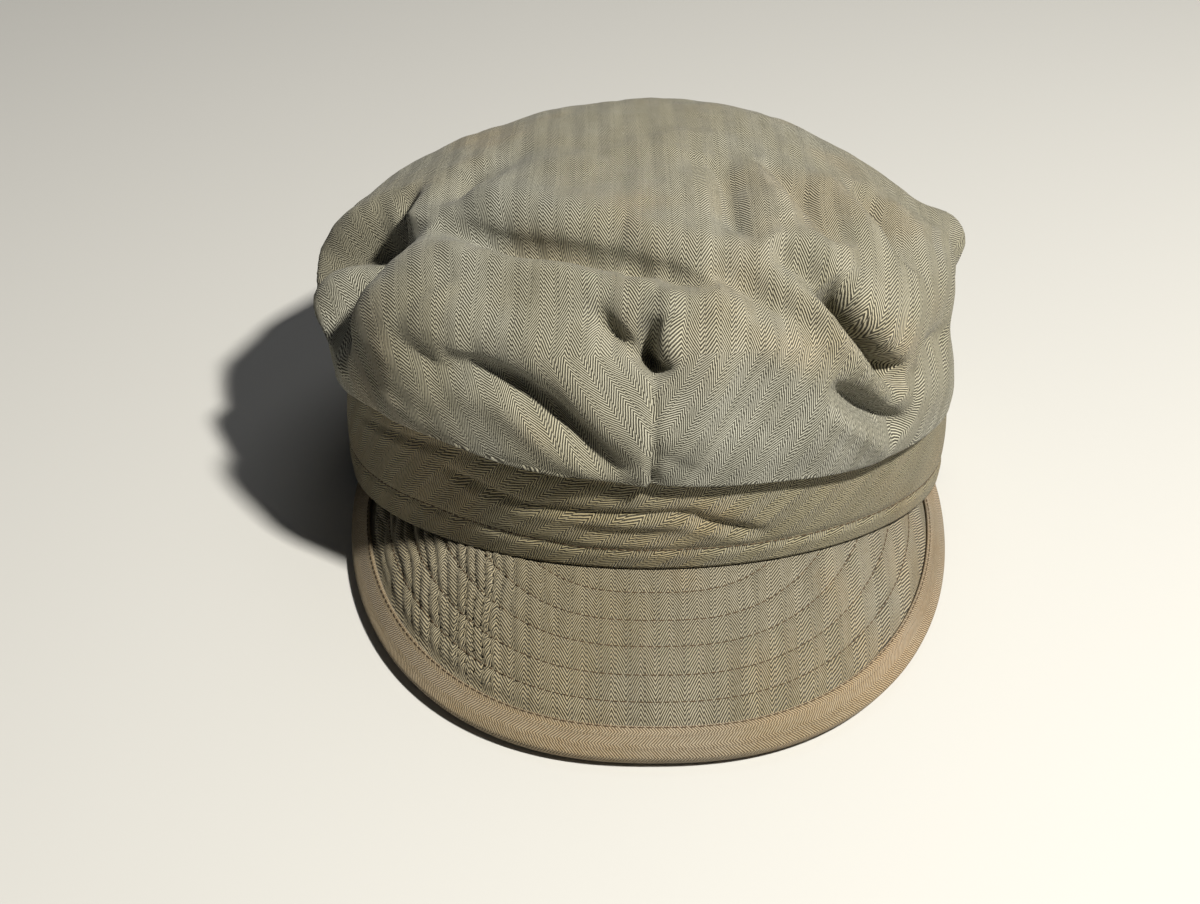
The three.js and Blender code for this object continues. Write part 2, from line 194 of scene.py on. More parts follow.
class CapColours(bpy.types.PropertyGroup):
    crown: colour_property("Crown cloth", "Faded olive of the crown", (0.285, 0.266, 0.187))
    band: colour_property("Band cloth", "Olive of the band", (0.235, 0.198, 0.107))
    peak: colour_property("Peak cloth", "Olive of the peak", (0.228, 0.192, 0.116))
    tape: colour_property("Tape", "Khaki of the tape round the peak", (0.24, 0.183, 0.108))
    thread: colour_property("Thread", "Brown of the sewing thread", (0.07, 0.045, 0.022))
    floor: colour_property("Floor", "Pale floor of the studio", (0.54, 0.54, 0.53))


def sizes():
    return bpy.context.scene.cap_sizes


def colours():
    return bpy.context.scene.cap_colours


def smooth_between(a, b, c, d, share):
    """A curve value between b and c, with a and d as the neighbours before and after."""
    bend = 2 * a - 5 * b + 4 * c - d + share * (3 * (b - c) + d - a)
    return b + 0.5 * share * (c - a + share * bend)


def section_at(column, azimuth):
    """A column of the crown's sections at any azimuths."""
    rows = CROWN_SECTIONS[:, column]
    place = np.mod(azimuth, 360.0) / (360.0 / len(rows))
    first = np.floor(place).astype(int)
    near = [rows[(first + k) % len(rows)] for k in (-1, 0, 1, 2)]
    return smooth_between(*near, place - first)


def head_radius(azimuth):
    """Radius of the head opening at any azimuth."""
    turn = np.radians(azimuth)
    return 1 / np.hypot(np.sin(turn) / HEAD_HALF_WIDTH, np.cos(turn) / HEAD_HALF_DEPTH)


def band_radius(azimuth):
    """Radius of the band's outer face at any azimuth."""
    return head_radius(azimuth) + BAND_WALL - BAND_INSIDE


def soft_ramp(value):
    """The value where it is above 0 and 0 below, with a soft bend between."""
    return 0.5 * (value + np.hypot(value, RISE_SOFTNESS))


def hem_height(azimuth):
    """Height of the band's lower edge: flat at the back, rising evenly over the front half."""
    return FRONT_RISE * (soft_ramp(np.cos(np.radians(azimuth))) - soft_ramp(-1.0))


def band_height(azimuth):
    """Height of the band at any azimuth: it is drawn up a little on the left of the front."""
    near = np.maximum(0, np.cos(np.radians(azimuth - BAND_EXTRA_AZIMUTH)))
    return BAND_HEIGHT + BAND_EXTRA * near ** BAND_EXTRA_FOCUS


def around_head(radius, azimuth, height):
    """Points at a radius, azimuth and height round the head opening."""
    turn = np.radians(azimuth)
    x = SEAT_SHIFT[0] + radius * np.sin(turn)
    y = SEAT_SHIFT[1] - radius * np.cos(turn)
    return np.stack(np.broadcast_arrays(x, y, height), -1)


def away_from_head(azimuth):
    """Level directions out of the head opening."""
    return unit(around_head(1.0, azimuth, 0.0) - around_head(0.0, azimuth, 0.0))


def crown_form(azimuth, share):
    """The crown's smooth form, from its seam on the band (share 0) to the apex (share 1)."""
    azimuth, share = np.broadcast_arrays(np.asarray(azimuth, float), np.asarray(share, float))
    seam_r = band_radius(azimuth)
    seam_z = hem_height(azimuth) + band_height(azimuth) + CLEARANCE
    radii = [seam_r - SEAM_LEAD_IN, seam_r]
    radii += [section_at(k, azimuth) for k in (ROLL_R, BULGE_R, BROW_R, TOP_R)]
    radii += [0 * azimuth, -section_at(TOP_R, azimuth + 180)]
    heights = [seam_z - SEAM_LEAD_DOWN, seam_z]
    heights += [section_at(k, azimuth) for k in (ROLL_Z, BULGE_Z, BROW_Z, TOP_Z)]
    heights += [0 * azimuth + APEX_HEIGHT, section_at(TOP_Z, azimuth + 180)]
    radii, heights = np.stack(radii), np.stack(heights)
    spans = len(radii) - 3
    place = np.clip(share * spans, 0, spans)
    first = np.minimum(np.floor(place).astype(int), spans - 1)
    pick = [np.expand_dims(first + k, 0) for k in range(4)]
    radius = smooth_between(*(np.take_along_axis(radii, p, 0)[0] for p in pick), place - first)
    height = smooth_between(*(np.take_along_axis(heights, p, 0)[0] for p in pick), place - first)
    return around_head(radius, azimuth, height)


def unit(vectors):
    """The vectors at length 1."""
    return vectors / np.maximum(np.linalg.norm(vectors, axis=-1, keepdims=True), 1e-9)


def round_normals(points):
    """Outward normals of a grid of points whose first index runs once round by azimuth."""
    along = np.roll(points, -1, 0) - np.roll(points, 1, 0)
    up = np.gradient(points, axis=1)
    return unit(np.cross(along, up))


def hump(distance, width):
    """1 at no distance, and fading past the width."""
    return np.exp(-((distance / width) ** 2))


def rising(value, over):
    """0 up to 0, and rising evenly to 1."""
    return np.clip(value / over, 0, 1)


def lengths_along(path):
    """Length of a path from its start to each of its points."""
    return np.concatenate([[0], np.cumsum(np.linalg.norm(np.diff(path, axis=0), axis=1))])


def nearest_on_path(points, path):
    """For each point: the nearest place on a path, the path's direction there, and its share."""
    best = np.full(len(points), np.inf)
    place = np.zeros_like(points)
    direction = np.zeros_like(points)
    share = np.zeros(len(points))
    for k in range(len(path) - 1):
        start, run = path[k], path[k + 1] - path[k]
        step = np.clip((points - start) @ run / max(run @ run, 1e-9), 0, 1)
        spot = start + step[:, None] * run
        distance = np.linalg.norm(points - spot, axis=1)
        closer = distance < best
        best[closer] = distance[closer]
        place[closer] = spot[closer]
        direction[closer] = run / np.linalg.norm(run)
        share[closer] = (k + step[closer]) / (len(path) - 1)
    return best, place, direction, share


def fold_shift(points, normals, path, width, depth, puff, rise, lean, sharp):
    """How a fold moves the cloth.

    It is a valley with a broad puff on its left that leans over it, and a small rise on its right.
    """
    from_path = np.linalg.norm(points[:, None] - path[None, ::3], axis=2).min(1)
    near = np.where(from_path < FOLD_REACH * width + FOLD_REACH_BEYOND)[0]
    shift = np.zeros_like(points)
    if not len(near):
        return shift
    here, out = points[near], normals[near]
    distance, place, direction, share = nearest_on_path(here, path)
    side = np.cross(out, direction)
    across = np.einsum("ij,ij->i", here - place, side) / width
    fade = (1 - np.abs(2 * share - 1) ** FOLD_FADE)[:, None]
    valley = -depth * np.exp(-((distance / width) ** sharp))[:, None]
    swell = puff * hump(across - PUFF_PLACE, PUFF_WIDTH)[:, None]
    swell += rise * hump(across + RISE_PLACE, RISE_WIDTH)[:, None]
    past = across - LEAN_PLACE
    over = lean * (0.5 + 0.5 * np.tanh(past / LEAN_EDGE)) * hump(np.maximum(0, past), LEAN_WIDTH)
    shift[near] = fade * (out * (valley + swell) - side * over[:, None])
    return shift


def bowed(row):
    """The places of a fold's row along its bow."""
    s = np.linspace(0, 1, FOLD_SAMPLES)
    a, b, c = (1 - s) ** 2, 2 * s * (1 - s), s ** 2
    return a * row[0] + b * row[2] + c * row[4], a * row[1] + b * row[3] + c * row[5]


def ripples(points, scale, seed):
    """Smooth noise at each point, between about -1 and 1."""
    offset = Vector((seed, -seed, 2 * seed))
    return np.array([noise.noise(Vector(p) / scale + offset) for p in points])


def grid_object(name, points, uv):
    """A sheet made as a grid and shaped to points[i][j], with uv(i, j, left column) in metres.

    Its face is on the side that sees i run to the right and j run up.
    """
    across, up = points.shape[:2]
    mesh = bmesh.new()
    bmesh.ops.create_grid(mesh, x_segments=across - 1, y_segments=up - 1, size=0.5)
    order = sorted(mesh.verts, key=lambda v: (round(v.co.x, 6), round(v.co.y, 6)))
    index = {}
    for k, vert in enumerate(order):
        i, j = divmod(k, up)
        vert.co = points[i, j] * MM
        index[vert] = (i, j)
    layer = mesh.loops.layers.uv.new("cloth")
    for face in mesh.faces:
        corners = [index[loop.vert] for loop in face.loops]
        left = min(i for i, j in corners)
        for loop, (i, j) in zip(face.loops, corners):
            loop[layer].uv = uv(i, j, left)
    first = next(f for f in mesh.faces if min(index[v] for v in f.verts) == (across // 2, 1))
    right = points[across // 2 + 1, 1] - points[across // 2, 1]
    up_way = points[across // 2, 2] - points[across // 2, 1]
    first.normal_update()
    if np.cross(right, up_way) @ np.array(first.normal) < 0:
        bmesh.ops.reverse_faces(mesh, faces=mesh.faces)
    bmesh.ops.remove_doubles(mesh, verts=mesh.verts, dist=1e-6)
    return finish_mesh(name, mesh)


def finish_mesh(name, mesh):
    """The bmesh as an object at the origin, shaded smooth."""
    data = bpy.data.meshes.new(name)
    mesh.to_mesh(data)
    mesh.free()
    data.polygons.foreach_set("use_smooth", [True] * len(data.polygons))
    piece = bpy.data.objects.new(name, data)
    bpy.context.scene.collection.objects.link(piece)
    return piece


def give_wall(piece, thickness):
    """Gives a sheet a wall on its inner side."""
    wall = piece.modifiers.new("wall", "SOLIDIFY")
    wall.thickness = thickness
    wall.offset = -1
    wall.use_even_offset = False
    wall.use_quality_normals = True


# How the crown's cloth settles: its growth, the frames it takes, the steps in which a hold is given,
# the farthest that a point may move, and the rounds in which the moves are evened out, with the share
# of its own move that a point keeps in each
SETTLE_GROWTH = 0.03
SETTLE_FRAMES = 16
HOLD_STEPS = 20
SETTLE_LIMIT = 4.0
SETTLE_SMOOTHING = 6
SMOOTHING_KEPT = 0.4
SETTLING_CLOTH = {
    "quality": 5, "mass": 0.15, "air_damping": 5, "pin_stiffness": 1, "shrink_min": -SETTLE_GROWTH,
    "tension_stiffness": 20, "compression_stiffness": 20, "shear_stiffness": 8, "bending_stiffness": 0.4,
    "tension_damping": 10, "compression_damping": 10, "shear_damping": 10, "bending_damping": 1,
}


def smoothed(values, data, rounds):
    """Values of a mesh's points, evened out with those of their neighbours."""
    edges = np.empty(len(data.edges) * 2, dtype=int)
    data.edges.foreach_get("vertices", edges)
    start, end = edges.reshape(-1, 2).T
    count = np.bincount(edges, minlength=len(values))[:, None]
    for _ in range(rounds):
        total = np.zeros_like(values)
        np.add.at(total, start, values[end])
        np.add.at(total, end, values[start])
        values = SMOOTHING_KEPT * values + (1 - SMOOTHING_KEPT) * total / np.maximum(count, 1)
    return values


def settle(piece, hold):
    """Lets a sheet of cloth grow a little and settle into creases.

    Each point is held near its shape by its hold, from 0 to 1.
    """
    group = piece.vertex_groups.new(name="hold")
    for level in range(HOLD_STEPS + 1):
        members = np.where(np.round(hold * HOLD_STEPS).astype(int) == level)[0].tolist()
        group.add(members, level / HOLD_STEPS, "REPLACE")
    cloth = piece.modifiers.new("cloth", "CLOTH")
    for setting, value in SETTLING_CLOTH.items():
        setattr(cloth.settings, setting, value)
    cloth.settings.vertex_group_mass = group.name
    cloth.settings.effector_weights.gravity = 0
    cloth.collision_settings.use_collision = False
    cloth.point_cache.frame_start = 1
    cloth.point_cache.frame_end = SETTLE_FRAMES
    scene = bpy.context.scene
    for step in range(1, SETTLE_FRAMES + 1):
        scene.frame_set(step)
    settled = piece.evaluated_get(bpy.context.evaluated_depsgraph_get())
    shaped = settled.to_mesh()
    places = np.empty(len(shaped.vertices) * 3)
    shaped.vertices.foreach_get("co", places)
    settled.to_mesh_clear()
    piece.modifiers.remove(cloth)
    piece.vertex_groups.remove(group)
    before = np.empty(len(places))
    piece.data.vertices.foreach_get("co", before)
    shift = smoothed((places - before).reshape(-1, 3), piece.data, SETTLE_SMOOTHING)
    moved = np.linalg.norm(shift, axis=1)
    shift *= np.minimum(1, SETTLE_LIMIT * MM / np.maximum(moved, 1e-9))[:, None]
    piece.data.vertices.foreach_set("co", before + shift.ravel())
    piece.data.update()
    scene.frame_set(1)


def dress(piece, material, slot, *nodes):
    """Gives a finished piece its material and its body, and hides the model's parts that it stands for. The
    slot is not used.
    """
    piece.data.materials.append(bpy.data.materials[material])
    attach(piece, "root")
    if nodes:
        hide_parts(*nodes)


# Materials


def add_node(tree, kind, inputs, **settings):
    """A new node with its settings, and with each input given a value or linked to a socket."""
    node = tree.nodes.new(kind)
    for setting, value in settings.items():
        setattr(node, setting, value)
    for key, value in inputs.items():
        if isinstance(value, bpy.types.NodeSocket):
            tree.links.new(value, node.inputs[key])
        else:
            node.inputs[key].default_value = value
    return node


def new_group(name, inputs, outputs):
    """An empty shader node group. Returns it with its input and output nodes.

    An input with a number is a value with that default, and one without is a vector.
    """
    group = bpy.data.node_groups.new(name, "ShaderNodeTree")
    for socket, value in inputs.items():
        kind = "NodeSocketVector" if value is None else "NodeSocketFloat"
        made = group.interface.new_socket(socket, in_out="INPUT", socket_type=kind)
        if value is not None:
            made.default_value = value
    for socket in outputs:
        group.interface.new_socket(socket, in_out="OUTPUT", socket_type="NodeSocketFloat")
    return group, group.nodes.new("NodeGroupInput"), group.nodes.new("NodeGroupOutput")


def maths(tree, operation, *values):
    """The result of a math node whose inputs are numbers or sockets."""
    return add_node(tree, "ShaderNodeMath", dict(enumerate(values)), operation=operation).outputs[0]


def cloud(tree, vector, scale, detail=2.0, roughness=0.5):
    """Soft noise at a vector."""
    inputs = {"Vector": vector, "Scale": scale, "Detail": detail, "Roughness": roughness}
    return add_node(tree, "ShaderNodeTexNoise", inputs).outputs["Fac"]


def ramp_between(tree, value, low, high, to_low=0.0, to_high=1.0):
    """A value brought softly from the span low to high to the span to_low to to_high."""
    inputs = {"Value": value, "From Min": low, "From Max": high, "To Min": to_low, "To Max": to_high}
    return add_node(tree, "ShaderNodeMapRange", inputs, interpolation_type="SMOOTHSTEP").outputs["Result"]


def mix_colours(tree, share, first, second, blend="MIX"):
    """A share of the second colour mixed over the first."""
    inputs = {0: share, 6: first, 7: second}
    return add_node(tree, "ShaderNodeMix", inputs, data_type="RGBA", blend_type=blend).outputs[2]


# How far the twill lines wander slowly and quickly, in metres, and how many times as far the stripes do
SLOW_WANDER, QUICK_WANDER, STRIPE_WANDER = 0.00025, 0.00035, 3.0
# Added across the cloth, in metres, so that the count of stripes never falls below 0
COUNT_FROM = 10.0
RIDGE_RELIEF, FIBRE_RELIEF = 0.85, 0.35
STREAK_DRAWN = (1.0, 0.12, 1.0)
# Where the tan patches are read, away from the grey ones
TAN_ASIDE = (3.1, 7.7, 1.3)


def herringbone_group():
    """Twill lines in stripes that turn about at each stripe's edge, from a cloth UV in metres."""
    group, start, end = new_group(
        "herringbone",
        {"Cloth": None, "Stripe": 0.0037, "Pitch": 0.0011, "Slope": 1.9, "Turn": 0.0, "Wander": SLOW_WANDER},
        ["Ridge", "Height", "Streak"])
    given = start.outputs
    turn = {"Vector": given["Cloth"], "Angle": given["Turn"]}
    cloth = add_node(group, "ShaderNodeVectorRotate", turn, rotation_type="Z_AXIS").outputs["Vector"]
    apart = add_node(group, "ShaderNodeSeparateXYZ", {"Vector": cloth}).outputs
    slow = maths(group, "SUBTRACT", cloud(group, cloth, scale=90.0, detail=3.0), 0.5)
    slow = maths(group, "MULTIPLY", slow, given["Wander"])
    quick = maths(group, "SUBTRACT", cloud(group, cloth, scale=700.0, roughness=0.6), 0.5)
    quick = maths(group, "MULTIPLY", quick, QUICK_WANDER)
    u = maths(group, "ADD", apart["X"], maths(group, "MULTIPLY", slow, STRIPE_WANDER))
    v = maths(group, "ADD", apart["Y"], maths(group, "ADD", slow, quick))
    zigzag = maths(group, "PINGPONG", u, given["Stripe"])
    place = maths(group, "DIVIDE", maths(group, "ADD", u, COUNT_FROM), given["Stripe"])
    parity = maths(group, "MODULO", maths(group, "FLOOR", place), 2.0)
    phase = maths(group, "ADD", v, maths(group, "MULTIPLY", zigzag, given["Slope"]))
    phase = maths(group, "DIVIDE", phase, given["Pitch"])
    phase = maths(group, "ADD", phase, maths(group, "MULTIPLY", parity, 0.5))
    wave = maths(group, "SINE", maths(group, "MULTIPLY", phase, 2 * math.pi))
    edge = maths(group, "ABSOLUTE", maths(group, "SUBTRACT", maths(group, "FRACT", place), 0.5))
    cut = ramp_between(group, edge, low=0.45, high=0.49, to_low=1.0, to_high=0.85)
    ridge = maths(group, "MULTIPLY", ramp_between(group, wave, low=-0.75, high=0.75), cut)
    fibre = cloud(group, cloth, scale=2600.0, roughness=0.7)
    raised = maths(group, "MULTIPLY", ridge, RIDGE_RELIEF)
    height = maths(group, "ADD", raised, maths(group, "MULTIPLY", fibre, FIBRE_RELIEF))
    drawn = add_node(group, "ShaderNodeVectorMath", {0: cloth, 1: STREAK_DRAWN}, operation="MULTIPLY")
    streak = cloud(group, drawn.outputs["Vector"], scale=170.0, detail=3.0, roughness=0.6)
    group.links.new(ridge, end.inputs["Ridge"])
    group.links.new(height, end.inputs["Height"])
    group.links.new(ramp_between(group, streak, low=0.3, high=0.7), end.inputs["Streak"])


def fading_group():
    """Large soft patches where the dye has faded, and small uneven flecks."""
    group, start, end = new_group(
        "fading", {"Place": None, "Patch Scale": 16.0}, ["Patch", "Tan", "Fleck"])
    place = start.outputs["Place"]
    patch = cloud(group, place, scale=start.outputs["Patch Scale"], detail=3.0)
    group.links.new(ramp_between(group, patch, low=0.38, high=0.64), end.inputs["Patch"])
    moved = add_node(group, "ShaderNodeVectorMath", {0: place, 1: TAN_ASIDE}, operation="ADD")
    tan = cloud(group, moved.outputs["Vector"], scale=24.0)
    group.links.new(ramp_between(group, tan, low=0.5, high=0.72), end.inputs["Tan"])
    fleck = cloud(group, place, scale=900.0, detail=3.0, roughness=0.8)
    group.links.new(ramp_between(group, fleck, low=0.3, high=0.75), end.inputs["Fleck"])


# What the dye is multiplied by where it is faded grey or tan, in its streaks, and on the twill ridges, where
# a paler thread tone and painted light are laid on together
GREY_TINT, TAN_TINT, TAN_SHARE = (1.04, 1.1, 1.26), (1.14, 1.02, 0.92), 0.6
DARK_STREAK, PALE_STREAK = (0.87, 0.87, 0.86, 1.0), (1.13, 1.13, 1.15, 1.0)
LIT_RIDGE_TINT = (1.52, 1.53, 1.58, 1.0)
# Green and blue beside red in the painted shade of the gaps between the ridges
GAP_GREEN, GAP_BLUE = 0.93, 0.78
FLECK_COLOUR, FLECK_SHARE = (0.5, 0.48, 0.4, 1.0), 0.16
WEAVE_DEPTH = 0.0004
# Painted shade and painted highlight of the thread's twist, as multipliers of its colour
THREAD_TWIST_SHADE, THREAD_TWIST_HIGHLIGHT = (0.7, 0.7, 0.7), (1.5, 1.5, 1.5)


def new_material(name, values):
    """A material with values on its shader. Returns its tree and its shader's inputs."""
    material = bpy.data.materials.new(name)
    material.use_nodes = True
    inputs = material.node_tree.nodes["Principled BSDF"].inputs
    for socket, value in values.items():
        inputs[socket].default_value = value
    return material.node_tree, inputs


def tinted(colour, tint):
    """A colour multiplied by a tint, with its alpha."""
    return tuple(min(1.0, c * k) for c, k in zip(colour, tint)) + (1.0,)


def cloth_material(name, colour, stripe, pitch, turn=0.0, relief=1.0, gap_shade=0.1, slope=1.9):
    """Herringbone cotton: twill ridges lighter than the gaps, partly in the threads' own tone and partly as
    painted light on the ridges and painted shade in the gaps, faded in patches, with a faint sheen.
    """
    tree, shader = new_material(name, {
        "Roughness": 0.92, "Specular IOR Level": 0.15, "Sheen Weight": 0.12, "Sheen Roughness": 0.5})
    cloth = add_node(tree, "ShaderNodeUVMap", {}, uv_map="cloth").outputs["UV"]
    groups = bpy.data.node_groups
    given = {"Cloth": cloth, "Stripe": stripe, "Pitch": pitch, "Turn": turn, "Slope": slope}
    weave = add_node(tree, "ShaderNodeGroup", given, node_tree=groups["herringbone"]).outputs
    given = {"Place": add_node(tree, "ShaderNodeTexCoord", {}).outputs["Object"]}
    faded = add_node(tree, "ShaderNodeGroup", given, node_tree=groups["fading"]).outputs
    dyed = mix_colours(tree, faded["Patch"], (*colour, 1.0), tinted(colour, GREY_TINT))
    tan_share = maths(tree, "MULTIPLY", faded["Tan"], TAN_SHARE)
    dyed = mix_colours(tree, tan_share, dyed, tinted(colour, TAN_TINT))
    streaked = mix_colours(tree, weave["Streak"], DARK_STREAK, PALE_STREAK)
    dyed = mix_colours(tree, 1.0, dyed, streaked, "MULTIPLY")
    # Painted shade: the gaps between the twill ridges are darkened to a small share of the dye, and the
    # ridges are lightened with painted light
    gap_tint = (gap_shade, gap_shade * GAP_GREEN, gap_shade * GAP_BLUE, 1.0)
    gap = mix_colours(tree, 1.0, dyed, gap_tint, "MULTIPLY")
    ridge = mix_colours(tree, 1.0, dyed, LIT_RIDGE_TINT, "MULTIPLY")
    woven = mix_colours(tree, weave["Ridge"], gap, ridge)
    fleck_share = maths(tree, "MULTIPLY", faded["Fleck"], FLECK_SHARE)
    tree.links.new(mix_colours(tree, fleck_share, woven, FLECK_COLOUR), shader["Base Color"])
    bump = {"Strength": relief, "Distance": WEAVE_DEPTH, "Height": weave["Height"]}
    tree.links.new(add_node(tree, "ShaderNodeBump", bump).outputs["Normal"], shader["Normal"])


def thread_material(colour):
    """Twisted cotton thread, a little paler on its high side: painted highlight and painted shade of its
    twist, in small patches of noise.
    """
    tree, shader = new_material("sewing thread", {"Roughness": 0.8})
    place = add_node(tree, "ShaderNodeTexCoord", {}).outputs["Object"]
    twist_light = cloud(tree, place, scale=1500.0)
    twisted = mix_colours(tree, twist_light, tinted(colour, THREAD_TWIST_SHADE), tinted(colour, THREAD_TWIST_HIGHLIGHT))
    tree.links.new(twisted, shader["Base Color"])


# The tape's finer weave, in metres, and the turn of the band's cloth
TAPE_STRIPE, TAPE_PITCH = 0.0033, 0.00075
BAND_CLOTH_TURN = math.radians(52)


class CAP_OT_materials(bpy.types.Operator):
    """Makes the cloth, tape and thread materials"""
    bl_idname = "cap.materials"
    bl_label = "Cloth and thread"

    def execute(self, context):
        herringbone_group()
        fading_group()
        stripe, pitch = sizes().stripe, sizes().twill_pitch
        cloth_material("crown twill", colours().crown, stripe, pitch)
        cloth_material("band twill", colours().band, stripe, pitch, turn=BAND_CLOTH_TURN)
        cloth_material("peak twill", colours().peak, stripe, pitch)
        cloth_material("khaki tape", colours().tape, TAPE_STRIPE, TAPE_PITCH,
                       relief=0.9, gap_shade=0.45, slope=0.9)
        thread_material(colours().thread)
        return {"FINISHED"}


# Crown

# Degrees from one column of the sheet to the next at the front and at the back, and half of the front
CROWN_FINE_FRONT = 0.85
CROWN_COARSE_BACK = 1.7
FRONT_SECTOR = 62.0
# Rows from the band to the apex, and the shares of the way up at fractions of them
CROWN_ROWS = 148
ROW_SHARES = ((0, 0.13, 0.29, 0.5, 0.76, 1), (0, 0.2, 0.4, 0.6, 0.8, 1))
# Height and spacing of the soft dimples and of the finer wrinkles all over the crown
DIMPLE_HEIGHT, DIMPLE_SPACING = 1.1, 17.0
WRINKLE_HEIGHT, WRINKLE_SPACING = 0.35, 6.5
# Shares of the way up at which the folds begin over the band, at which the cloth has rolled over, and
# over which folds and seam come in or end
FOLDS_FROM, FOLDS_COME_IN = 0.1, 0.18
ROLL_SHARE = 0.2
SEAM_COMES_IN, SEAM_ENDS = 0.14, 0.08
# The dart's seam: height and width of the lap on its left, of the step on its right, and the radius at
# which the distances to it are taken
LAP_HEIGHT, LAP_WIDTH = 1.2, 6
STEP_HEIGHT, STEP_WIDTH = -2.8, 2.2
SEAM_RADIUS = 98
# How far the dart turns the weave, and how far from its seam
DART_LEAN = math.tan(math.radians(30))
DART_REACH = 75
# Least and most that the folded cloth is longer than its form, and the rounds of evening that out
LEAST_FULL, MOST_FULL = 0.8, 2.2
FULLNESS_EVENING = 12
# Height above the seam up to which the cloth is held in full, height over which it comes free, and the
# least hold
HELD_HEIGHT, HOLD_FADE, LEAST_HOLD = 1.0, 8.0, 0.45


def crown_azimuths():
    """Closely spaced over the front, wider at the back; the seam falls between two of them."""
    front = np.arange(SEAM_AZIMUTH - FRONT_SECTOR, SEAM_AZIMUTH + FRONT_SECTOR, CROWN_FINE_FRONT)
    front = front + 0.5 * CROWN_FINE_FRONT
    rest = 360.0 - (front[-1] - front[0])
    steps = int(round(rest / CROWN_COARSE_BACK))
    back = front[-1] + rest * np.arange(1, steps + 1) / steps
    return np.concatenate([front, back])


def cloth_flat(form, points, rolled, azimuths):
    """Where each point of the crown lay in the flat cloth, in mm: columns run front to back."""
    lengths = np.linalg.norm(np.diff(form, axis=1), axis=2)
    folded = np.linalg.norm(np.diff(points, axis=1), axis=2)
    fuller = folded / lengths
    fuller[:, rolled:] = np.clip(fuller[:, rolled:], LEAST_FULL, MOST_FULL)
    for _ in range(FULLNESS_EVENING):
        fuller = (np.roll(fuller, 1, axis=0) + fuller + np.roll(fuller, -1, axis=0)) / 3
    lengths = lengths * fuller
    from_top = np.cumsum(lengths[:, ::-1], axis=1)[:, ::-1]
    from_top = np.concatenate([from_top, np.zeros((len(form), 1))], axis=1)
    radius = np.hypot(form[..., 0] - SEAT_SHIFT[0], form[..., 1] - SEAT_SHIFT[1])
    turn = np.radians(azimuths)[:, None]
    s, c = np.sin(turn), np.cos(turn)
    u = s * (radius * c ** 2 + from_top * s ** 2)
    v = -c * (from_top * c ** 2 + radius * s ** 2)
    return u, v, from_top


def beside_seam(azimuths):
    """Distance from the dart's seam, below 0 on its left."""
    return (azimuths - SEAM_AZIMUTH) * math.radians(1) * SEAM_RADIUS


def crown_points(azimuths, shares):
    """The crown's folded outer face, and its form without folds."""
    form = crown_form(azimuths[:, None], shares[None, :])
    normals = round_normals(form[:-1])
    normals = np.concatenate([normals, normals[:1]])
    normals[:, -1] = (0, 0, 1)
    flat_points = form.reshape(-1, 3)
    flat_normals = normals.reshape(-1, 3)
    shift = np.zeros_like(flat_points)
    for row in CROWN_FOLDS:
        path = crown_form(*bowed(row))
        shift += fold_shift(flat_points, flat_normals, path, *row[6:])
    uneven = DIMPLE_HEIGHT * ripples(flat_points, DIMPLE_SPACING, 3.0)
    uneven += WRINKLE_HEIGHT * ripples(flat_points, WRINKLE_SPACING, 4.0)
    shift = (shift + uneven[:, None] * flat_normals).reshape(form.shape)
    folded = 0.5 - 0.5 * np.cos(np.pi * rising(shares - FOLDS_FROM, FOLDS_COME_IN))
    beside = beside_seam(azimuths[:, None])
    ends = rising(SEAM_TOP - shares, SEAM_ENDS) * rising(shares - FOLDS_FROM, SEAM_COMES_IN)
    lap = LAP_HEIGHT * hump(beside, LAP_WIDTH) * (beside < 0)
    step = STEP_HEIGHT * hump(beside, STEP_WIDTH) * (beside > 0)
    seam = (ends * (lap + step))[..., None] * normals
    return form + folded[None, :, None] * shift + seam, form


class CAP_OT_crown(bpy.types.Operator):
    """Makes the soft crown with its dart and folds"""
    bl_idname = "cap.crown"
    bl_label = "Crown"

    def execute(self, context):
        azimuths = crown_azimuths()
        shares = np.interp(np.linspace(0, 1, CROWN_ROWS), *ROW_SHARES)
        points, form = crown_points(azimuths, shares)
        seam_row, roll_row = (int(np.argmin(abs(shares - share))) for share in (SEAM_TOP, ROLL_SHARE))
        u, v, from_top = cloth_flat(form, points, roll_row, azimuths)
        at_top, at_roll = from_top[:, [seam_row]], from_top[:, [roll_row]]
        dart_depth = np.clip(from_top, at_top, at_roll) - at_top
        fade = hump(beside_seam(azimuths), DART_REACH)

        def uv(i, j, left):
            side = -1 if azimuths[left] < SEAM_AZIMUTH or azimuths[left] > 180 else 1
            lean = side * DART_LEAN * dart_depth[i, j] * fade[i]
            return (u[i, j] + lean) * MM, v[i, j] * MM

        crown = grid_object("crown_cloth", points, uv)
        settle(crown, self.hold(crown))
        give_wall(crown, sizes().cloth_thickness)
        dress(crown, "crown twill", "cloth", "crown")
        return {"FINISHED"}

    def hold(self, crown):
        """Full hold near the seam on the band, a light one elsewhere."""
        places = np.array([v.co for v in crown.data.vertices]) / MM
        azimuth = np.degrees(np.arctan2(places[:, 0] - SEAT_SHIFT[0], SEAT_SHIFT[1] - places[:, 1]))
        above = places[:, 2] - hem_height(azimuth) - band_height(azimuth)
        return np.clip(1.0 - (above - HELD_HEIGHT) / HOLD_FADE, LEAST_HOLD, 1.0)


# Band

BAND_COLUMNS = 360
BAND_ROWS = 44
# Puff, rise, lean and sharpness of the band's creases
CREASE_FORM = (0.5, 0.4, 0.6, 1.5)
# Height of the turned-up hem below the stitch row and how soon it is reached, and depth and width of
# the groove that the stitches press
HEM_HEIGHT, HEM_STEP = 0.4, 2.0
GROOVE_DEPTH, GROOVE_WIDTH = 0.6, 1.1


